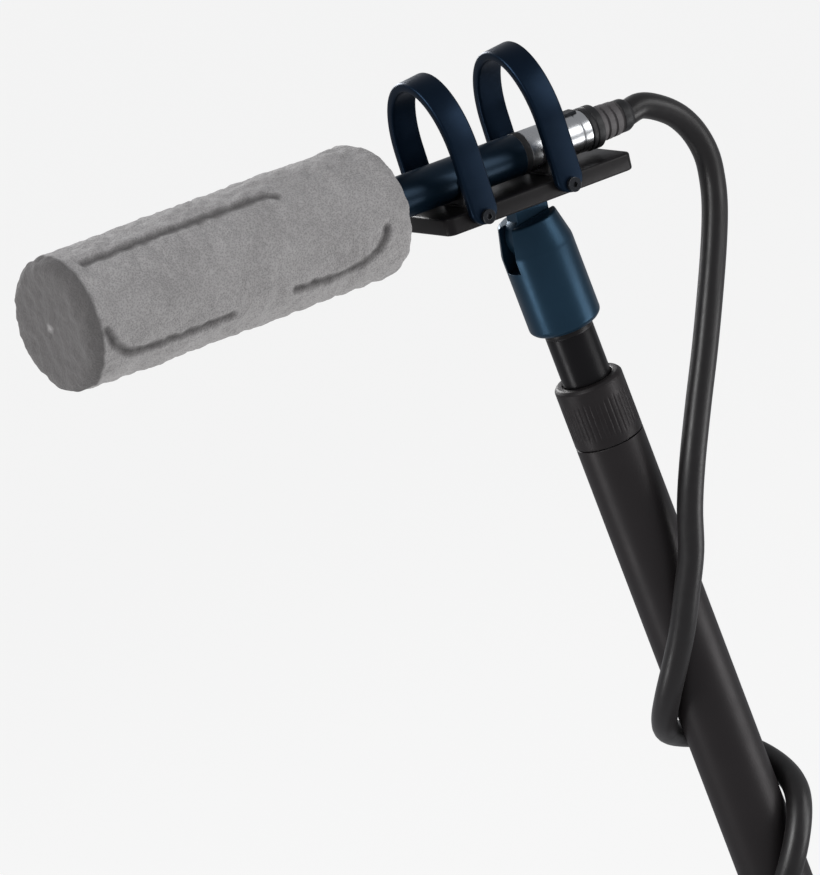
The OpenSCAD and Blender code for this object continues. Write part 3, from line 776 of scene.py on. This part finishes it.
def saw_out(thing, *saws):
    """Cut the saws' shapes out of a piece, apply the cut and throw the saws away."""
    for saw in saws:
        cut = thing.modifiers.new("cut", "BOOLEAN")
        cut.operation, cut.solver, cut.object = "DIFFERENCE", "EXACT", saw
    scene_state = bpy.context.evaluated_depsgraph_get()
    result = bpy.data.meshes.new_from_object(thing.evaluated_get(scene_state))
    thing.modifiers.clear()
    thing.data = result
    result.shade_smooth()
    result.set_sharp_from_angle(angle=radians(35))
    for saw in saws:
        bpy.data.objects.remove(saw)
    return thing

# %% The stem
SLOT_HALF, SLOT_DEPTH, BOLT_RADIUS, HEAD_RADIUS = 5 * MM, 12.7 * MM, 3 * MM, 5.8 * MM
stem_low, stem_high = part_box("stem_adapter")
stem_r = stem_high.y
shoulder = pivot.z - 6 * MM
top_r = 13.6 * MM
stud_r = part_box("tip_stud")[1].x
outline = [(stud_r, stem_low.z), (stem_r - 2.2 * MM, stem_low.z),
           (stem_r, stem_low.z + 2.2 * MM), (stem_r, shoulder), (top_r, stem_high.z),
           (0, stem_high.z), (0, stem_low.z + 23 * MM), (stud_r, stem_low.z + 23 * MM),
           (stud_r, stem_low.z)]
stem = spun("stem", eased(outline, 1.2 * MM), around=128)
slot = block((-0.03, -SLOT_HALF, pivot.z - SLOT_DEPTH), (0.03, SLOT_HALF, pivot.z + 0.03))
bores = []
for low_y, high_y, bore_r in ((-0.011, 0.03, BOLT_RADIUS), (0.01, 0.03, HEAD_RADIUS)):
    bores.append(spun("saw", [(0, low_y), (bore_r, low_y), (bore_r, high_y), (0, high_y)],
                      Matrix.Translation(pivot) @ Matrix.Rotation(-pi / 2, 4, "X"), 48))
saw_out(stem, slot, *bores)
ease = stem.modifiers.new("eased_edges", "BEVEL")
ease.width, ease.segments = 0.35 * MM, 2
ease.limit_method, ease.angle_limit = "ANGLE", radians(50)
hand_over(stem, navy_stem, "extension", ["stem_adapter"])

# %% [markdown]
# ## The cradle
# A black bar carries two navy hoops. The bar is a plate with rounded corners and eased
# edges, with pockets for the lug's flange and the two rubber pads. The hoops are bent from
# flat strip, so each is a rounded section drawn along the strip's middle line, up one leg,
# over the crown and down the other.

# %% Helper: a plate with rounded edges
def plate(name, half_x, half_y, corner, z0, z1, edge, place=Matrix()):
    """A rectangular plate with rounded corners and eased edges, from z0 to z1."""
    layers = []
    for step in range(5):
        angle = radians(90 * step / 4)
        layers.append((edge * (1 - sin(angle)), z0 + edge * (1 - cos(angle))))
    layers += [(inset, z0 + z1 - z) for inset, z in reversed(layers)]
    points, faces = [], []
    for inset, z in layers:
        ring = soft_box(half_x - inset, half_y - inset, corner - inset, 6)
        points += [(x, y, z) for x, y in ring]
    size = len(ring)
    for i in range(len(layers) - 1):
        for k in range(size):
            m = (k + 1) % size
            faces.append((i * size + k, i * size + m, (i + 1) * size + m, (i + 1) * size + k))
    faces.append(tuple(range(size)))
    faces.append(tuple((len(layers) - 1) * size + k for k in range(size)))
    return piece_from(name, points, faces, place)


# %% The base bar
bar_low, bar_high = cradle_box("base_bar")
middle = (bar_low + bar_high) / 2
bar = plate("cradle_bar", (bar_high.x - bar_low.x) / 2, (bar_high.y - bar_low.y) / 2, 4 * MM,
            bar_low.z, bar_high.z, 1.1 * MM, cradle_place @ Matrix.Translation((middle.x, 0, 0)))
flange = block((-10.55 * MM, -10.05 * MM, bar_low.z - 1 * MM),
               (10.55 * MM, 10.05 * MM, bar_low.z + 2.5 * MM), cradle_place)
pad_low, pad_high = cradle_box("clip_isolators")
clip_places = (pad_low.x + 6 * MM, pad_high.x - 6 * MM)
pockets = [block((x - 6.1 * MM, pad_low.y - 0.1 * MM, pad_low.z),
                 (x + 6.1 * MM, pad_high.y + 0.1 * MM, pad_high.z + 5 * MM), cradle_place)
           for x in clip_places]
heads = [spun("saw", [(0, bar_low.z - 1 * MM), (2.8 * MM, bar_low.z - 1 * MM),
                      (2.8 * MM, bar_low.z + 1.5 * MM), (0, bar_low.z + 1.5 * MM)],
              cradle_place @ Matrix.Translation((x, 0, 0)), 40) for x in clip_places]
saw_out(bar, flange, *pockets, *heads)
hand_over(bar, bar_black_satin, "cradle", ["base_bar"])

# %% [markdown]
# Each hoop's middle line is a leg, half an ellipse and the other leg. The feet are rounded,
# so there the strip's width follows a circle, and the line gets more points to show it.

# %% Helper: a hoop's middle line
def hoop_line(x, foot, spring, top, half):
    """The strip's middle line: a leg, half an ellipse, and the other leg."""
    leg = 20
    out = [Vector((x, -half, foot + (spring - foot) * i / leg)) for i in range(leg)]
    for i in range(65):
        angle = pi * i / 64
        out.append(Vector((x, -half * cos(angle), spring + (top - spring) * sin(angle))))
    out += [Vector((x, half, spring - (spring - foot) * i / leg)) for i in range(1, leg + 1)]
    return out


# %% The hoops
screw_low, screw_high = cradle_box("hoop_screws")
screw_head = 3.4 * MM
screw_height = (screw_low.z + screw_high.z) / 2
hoop_foot, hoop_spring, hoop_top = bar_low.z + 1 * MM, 50 * MM, 86.5 * MM
hoop_half = cradle_box("hoop_front")[1].y
thick, band = 4.5 * MM, 7 * MM
HOOP_LEAN = radians(6)
for hoop_name, x in (("hoop_front", screw_low.x + screw_head),
                     ("hoop_rear", screw_high.x - screw_head)):
    lean = (cradle_place @ Matrix.Translation((x, 0, screw_height))
            @ Matrix.Rotation(-HOOP_LEAN, 4, "Y") @ Matrix.Translation((-x, 0, -screw_height)))
    line = hoop_line(x, hoop_foot, hoop_spring, hoop_top - thick / 2, hoop_half - thick / 2)
    fine = []
    for a, b in zip(line, line[1:]):
        near_foot = min(a.z, b.z) < hoop_foot + band + 1 * MM
        parts = 4 if near_foot else 1
        fine += [a.lerp(b, i / parts) for i in range(parts)]
    fine.append(line[-1])

    def strip_section(i, fine=fine):
        up = fine[i].z - hoop_foot
        width = band if up >= band else sqrt(max(band ** 2 - (band - up) ** 2, (0.6 * MM) ** 2))
        return soft_box(width, thick / 2, min(1.3 * MM, width * 0.9), 4)

    hoop = drawn(hoop_name + "_strip", fine, strip_section, Vector((1, 0, 0)),
                 place=lean, sharp=60)
    hand_over(hoop, navy_hoop, "cradle", [hoop_name])

# %% [markdown]
# ## The microphone and its plug
# The barrel is a slim tube with nine pairs of slots, hidden under the windscreen until that
# is pulled off. Behind it come a black ring, the bright shell of the plug, its black
# clamping ring and the boot, whose grey is a painted highlight on black rubber. All of them
# are turned round the microphone's axis.

# %% The barrel
barrel_low, barrel_high = cradle_box("mic_tube")
barrel_r = (barrel_high.z - barrel_low.z) / 2
outline = [(barrel_r - 1.1 * MM, barrel_low.x), (barrel_r, barrel_low.x),
           (barrel_r, barrel_high.x), (barrel_r - 1.1 * MM, barrel_high.x),
           (barrel_r - 1.1 * MM, barrel_low.x)]
barrel = spun("microphone_barrel", eased(outline, 0.3 * MM), mic_place, 128)
slots = [block((barrel_low.x + (10 + 15 * i) * MM, -0.02, mic_height - 0.8 * MM),
               (barrel_low.x + (20 + 15 * i) * MM, 0.02, mic_height + 0.8 * MM), cradle_place)
         for i in range(9)]
saw_out(barrel, *slots)
hand_over(barrel, navy_barrel, "cradle", ["mic_tube"])


# %% Helper: a turned piece on the microphone's axis
def mic_turned(name, node, outline, finish, ease=0.4 * MM, saws=()):
    """A turned piece on the microphone's axis; outline is (radius, place) in millimetres."""
    made = spun(name, eased([(r * MM, x * MM) for r, x in outline], ease), mic_place, 96)
    if saws:
        saw_out(made, *saws)
    return hand_over(made, finish, "cradle", [node])


# %% The black ring and the plug's shell
ring_low, ring_high = (c.x / MM for c in cradle_box("mic_rear_ring"))
mic_turned("barrel_end_ring", "mic_rear_ring",
           [(8.1, ring_high), (9.8, ring_high), (9.8, ring_high - 3.5), (8.6, ring_high - 3.5),
            (8.6, ring_low), (0, ring_low), (0, ring_low + 3), (8.1, ring_low + 3),
            (8.1, ring_high)], moulded)

shell_front, shell_rear = (c.x / MM for c in cradle_box("plug_shell"))
latch_low, latch_high = cradle_box("latch_button")
window = block((latch_low.x - 0.2 * MM, latch_low.y - 0.2 * MM, mic_height),
               (latch_high.x + 0.2 * MM, latch_high.y + 0.2 * MM, mic_height + 0.02), cradle_place)
mic_turned("plug_housing", "plug_shell",
           [(8.3, shell_front), (9.6, shell_front), (9.6, shell_rear - 6), (9.35, shell_rear - 5.6),
            (9.35, shell_rear - 4.8), (9.6, shell_rear - 4.4), (9.6, shell_rear),
            (8.3, shell_rear), (8.3, shell_front)], satin_nickel, saws=[window])

# %% The clamping ring
clamp_front, clamp_rear = (c.x / MM for c in cradle_box("plug_ring"))
clamp_face = clamp_front + 2
mic_turned("plug_clamp_ring", "plug_ring",
           [(7.3, clamp_front), (8.2, clamp_front), (8.2, clamp_face), (10.1, clamp_face),
            (10.1, clamp_face + 1.8), (9.7, clamp_face + 2.1), (9.7, clamp_face + 2.7),
            (10.1, clamp_face + 3.0), (10.1, clamp_rear), (7.3, clamp_rear),
            (7.3, clamp_front)], moulded)

# %% [markdown]
# The boot keeps the cable from kinking where it leaves the plug. Rings with narrow grooves
# between them bend easily but not sharply, and a black tip holds its end together.

# %% The boot and its tip
boot_front, boot_rear = (c.x / MM for c in cradle_box("plug_boot"))
sleeve = [(6.1, boot_front), (7.1, boot_front), (7.1, boot_front + 4)]
rings = 3
step = (boot_rear - boot_front - 4) / rings
for i in range(rings):
    at, radius = boot_front + 4 + i * step, 8.4 - 0.2 * i
    sleeve += [(radius, at), (radius - 0.1, at + step * 0.68), (radius - 1.0, at + step * 0.74),
               (radius - 1.0, at + step * 0.96)]
sleeve += [(7.8, boot_rear), (6.1, boot_rear), (6.1, boot_front)]
# The boot's grey finish is a painted highlight.
mic_turned("plug_strain_relief", "plug_boot", sleeve, boot_rubber_painted_highlight, 0.3 * MM)

tip_front, tip_rear = (c.x / MM for c in cradle_box("boot_ring"))
mic_turned("strain_relief_tip", "boot_ring",
           [(5.7, tip_front), (7.6, tip_front), (7.6, tip_rear - 2), (6.6, tip_rear),
            (5.7, tip_rear), (5.7, tip_front)], moulded, 0.8 * MM)

# %% [markdown]
# ## The windscreen
# A foam windscreen is a soft cylinder cut and ground from one block, pushed over the
# microphone. Its edges are rounded, its surface is lumpy at a scale of a few millimetres,
# and handling leaves shallow creases in it. The mesh is a fine grid spun round the axis;
# each point is then moved in or out by noise and by its distance from the creases. The same
# distance is stored as painted shade in the value the foam's finish reads, and the front
# face gets painted shade as well.

# %% The windscreen's creases, as (place along the barrel, angle round it)
creases = [
    [(-242, 59), (-200, 61), (-143, 60), (-139, 55)],
    [(-247, -4), (-244, -17), (-238, -28), (-229, -33), (-205, -34), (-180, -32)],
    [(-144, -31), (-122, -33), (-108, -30), (-99, -22), (-94, -6)],
    [(-226, 150), (-190, 153), (-158, 149)],
    [(-150, 205), (-118, 208), (-96, 196)],
    [(-236, 246), (-205, 250), (-172, 247)],
]


def crease_depth(x, angle, radius_mm):
    """From 0 on open foam to 1 in the middle of the nearest crease."""
    deepest = 0.0
    for crease in creases:
        for (x0, a0), (x1, a1) in zip(crease, crease[1:]):
            arc = radius_mm * pi / 180
            turn_off = (angle - a0 + 180) % 360 - 180
            px, py = x - x0, turn_off * arc
            dx, dy = x1 - x0, (a1 - a0) * arc
            t = max(0.0, min(1.0, (px * dx + py * dy) / (dx * dx + dy * dy)))
            off = hypot(px - t * dx, py - t * dy)
            wander = 0.5 * noise.noise(Vector((x * 0.2, angle * 0.1, 3.0)))
            deepest = max(deepest, 1 - abs(off + wander) / 2.9)
    return max(0.0, min(1.0, deepest)) ** 0.55


# %% The windscreen's outline, in millimetres
screen_low, screen_high = cradle_box("windscreen")
screen_r = (screen_high.z - screen_low.z) / 2 / MM
front, rear = screen_low.x / MM, screen_high.x / MM
bore_r = barrel_r / MM + 0.3
bore_end = barrel_low.x / MM - 4.4
NOSE, HEEL = 7.0, 12.0
side = rear - HEEL - front - NOSE
inner_edge = screen_r - HEEL
face = [(0.0, front)] + [(screen_r - NOSE - 1.05 * k, front) for k in range(20, 0, -1)]
nose = [(screen_r - NOSE * (1 - sin(radians(a))), front + NOSE * (1 - cos(radians(a))))
        for a in range(0, 91, 7)]
flank = [(screen_r, front + NOSE + side * k / 180) for k in range(1, 180)]
heel = [(screen_r - HEEL * (1 - cos(radians(a))), rear - HEEL * (1 - sin(radians(a))))
        for a in range(0, 91, 5)]
back_face = [(inner_edge - (inner_edge - bore_r) * k / 6, rear) for k in range(1, 6)]
bore = [(bore_r, rear - (rear - bore_end) * k / 40) for k in range(41)] + [(0.0, bore_end)]
seen = face + nose + flank + heel + back_face
profile = seen + bore
print("windscreen", round(rear - front, 1), "mm long and", round(2 * screen_r, 1), "mm wide")


# %% Where a point of the foam goes, and how much painted shade it gets
def foam_point(radius, x, angle, degrees, outside):
    """A point moved by lumps and creases, and its painted shade from 0 to 1."""
    spot = Vector((x, radius * cos(angle), radius * sin(angle)))
    push, dent_and_painted_shade = 0.0, 0.0
    if outside and radius > 0:
        lumps, fine_lumps = spot * 0.19, spot * 0.45 + Vector((9, 2, 5))
        push = 1.15 * noise.noise(lumps) + 0.3 * noise.noise(fine_lumps)
        # The crease depth both sinks the foam and is kept as painted shade.
        if radius > screen_r - NOSE - 1:
            dent_and_painted_shade = crease_depth(x, degrees, screen_r)
        push -= 1.1 * dent_and_painted_shade
        # Painted shade on the front face and nose, up to a wavy line about 8 mm back.
        edge_wave = 0.8 * noise.noise(spot * 0.12 + Vector((1, 7, 3)))
        dent_and_painted_shade = max(dent_and_painted_shade, 0.9 * min(1.0, max(0.0, (front + 8 + edge_wave - x) / 0.8)))
        pinch = max(0.0, 1 - radius / 3.0) if x < front + 1 else 0.0
        dent_and_painted_shade *= 1 - 0.9 * pinch
        push -= 1.3 * pinch
    share = min(1.0, radius / 6)
    along = 0.0
    if x <= front + NOSE:
        lean = max(0.0, 1 - (x - front) / NOSE)
        along, push = -push * lean, push * (1 - lean) * share
    elif x >= rear - HEEL and outside:
        lean = max(0.0, 1 - (rear - x) / HEEL)
        along, push = push * lean, push * (1 - lean)
    moved = ((radius + push) * cos(angle), (radius + push) * sin(angle), x + along)
    return Vector(moved) * MM, dent_and_painted_shade


# %% The windscreen's mesh
AROUND = 240
count = len(profile)
swing = mic_place @ Matrix.Rotation(-pi / 2, 4, "Z")
points, faces, shade = [], [], []
for k in range(AROUND):
    here, there = k * count, (k + 1) % AROUND * count
    faces += [(here + i, there + i, there + i + 1, here + i + 1) for i in range(count - 1)]
    for index, (radius, x) in enumerate(profile):
        point, dent_and_painted_shade = foam_point(radius, x, 2 * pi * k / AROUND, -360 * k / AROUND,
                                 index < len(seen))
        points.append(swing @ point)
        shade.append(dent_and_painted_shade)
screen_mesh = bpy.data.meshes.new("foam_windscreen")
screen_mesh.from_pydata(points, [], faces)
# The shade value carries the painted shade to the foam's finish.
painted_shade_carrier = screen_mesh.attributes.new("shade", "FLOAT", "POINT")
painted_shade_carrier.data.foreach_set("value", shade)
made = bmesh.new()
made.from_mesh(screen_mesh)
bmesh.ops.remove_doubles(made, verts=made.verts, dist=2e-6)
bmesh.ops.recalc_face_normals(made, faces=made.faces)
made.to_mesh(screen_mesh)
made.free()
screen_mesh.shade_smooth()
screen = bpy.data.objects.new("foam_windscreen", screen_mesh)
bpy.context.scene.collection.objects.link(screen)
hand_over(screen, foam_grey, "foam", ["windscreen"])

# %% [markdown]
# ## The hardware that keeps its CAD shape
# Screws, clips, washers, the board and the inner sleeves are already the right shape. They
# keep their CAD mesh and get a finish. A weld joins the points that the exporter split, and
# a small bevel eases the sharp edges so that they catch the light.

# %% Finishes for the CAD hardware
kept = {
    bare_alloy: ["clutch_sleeve"],
    nylon: ["clutch_collet", "guide_bush"],
    moulded: ["butt_plug", "clip_front", "clip_rear", "plug_insert", "mic_front_cap",
              "tilt_washers"],
    rubber: ["butt_foot", "clip_isolators"],
    screw_bright: ["butt_screw", "tip_stud", "lug_screws", "clip_screws", "latch_spring"],
    screw_dark: ["tilt_bolt", "hoop_screws", "latch_button"],
    navy_stem: ["tilt_lug"],
    bar_black_satin: ["tip_plug"],
    contact_plate: ["mic_pins", "end_plug_insert"],
    capsule_metal: ["mic_capsule"],
    board_lacquer: ["mic_board"],
}
for finish, names in kept.items():
    for name in names:
        thing = frame["nodes"][name]
        thing.data.materials.clear()
        thing.data.materials.append(finish)
        join = thing.modifiers.new("join", "WELD")
        join.merge_threshold = 1e-6
        ease = thing.modifiers.new("ease", "BEVEL")
        ease.width, ease.segments, ease.limit_method = 0.22 * MM, 2, "ANGLE"
        ease.angle_limit = radians(50)
print("CAD pieces with a finish:", sum(len(names) for names in kept.values()))

# %% [markdown]
# ## Floor and light
# A large pale floor lies just under the butt. The key light is a broad soft panel high on
# the left, in front. A second panel on the right fills the far side, and a small one behind
# draws a rim along the hoops. The camera looks down, so upright metal mirrors what stands
# low beside it: two small low panels put a soft line on the pole's right and on the stem's
# left. The sky fills the rest evenly.

# %% The floor
floor_mesh = bpy.data.meshes.new("studio_floor")
floor_z = cad_box[0][2] - 0.0005
floor_mesh.from_pydata([(x * 30, y * 30, floor_z) for x, y in ((-1, -1), (1, -1), (1, 1), (-1, 1))],
                       [], [(0, 1, 2, 3)])
floor = bpy.data.objects.new("studio_floor", floor_mesh)
bpy.context.scene.collection.objects.link(floor)
floor_paint = bpy.data.materials.new("studio_floor")
floor_paint.use_nodes = True
floor_shader = floor_paint.node_tree.nodes["Principled BSDF"]
floor_shader.inputs["Base Color"].default_value = (0.04, 0.04, 0.04, 1)
floor_shader.inputs["Roughness"].default_value = 0.95
floor_shader.inputs["Specular IOR Level"].default_value = 0.0
floor_shader.inputs["Emission Color"].default_value = (1, 1, 1, 1)
floor_shader.inputs["Emission Strength"].default_value = 0.885
floor_mesh.materials.append(floor_paint)
floor.visible_glossy = False

# %% The light
sky = bpy.data.worlds.new("studio_sky")
bpy.context.scene.world = sky
sky.use_nodes = True
sky.node_tree.nodes["Background"].inputs["Color"].default_value = (0.95, 0.96, 1.0, 1)
sky.node_tree.nodes["Background"].inputs["Strength"].default_value = 0.32


def panel(name, where, size, power):
    """A square soft light that faces the head of the pole."""
    lamp = bpy.data.lights.new(name, "AREA")
    lamp.size, lamp.energy = size, power
    thing = bpy.data.objects.new(name, lamp)
    thing.location = where
    thing.rotation_euler = (LOOK_AT - Vector(where)).to_track_quat("-Z", "Y").to_euler()
    bpy.context.scene.collection.objects.link(thing)
    return thing


panel("key_panel", LOOK_AT + back * 1.1 - level_right * 1.2 + Vector((0, 0, 1.3)), 1.1, 33)
panel("right_panel", LOOK_AT + level_right * 1.7 + back * 0.4 + Vector((0, 0, 0.3)), 0.9, 7)
panel("rim_panel", LOOK_AT - back * 1.3 - level_right * 0.4 + Vector((0, 0, 1.0)), 0.7, 16)
panel("pole_strip", LOOK_AT + level_right * 0.75 + back * 0.15 - Vector((0, 0, 0.40)), 0.36, 1.5)
panel("stem_strip", LOOK_AT - level_right * 0.8 + back * 0.3 - Vector((0, 0, 0.30)), 0.22, 1.1)
bpy.context.scene.view_settings.view_transform = "Standard"
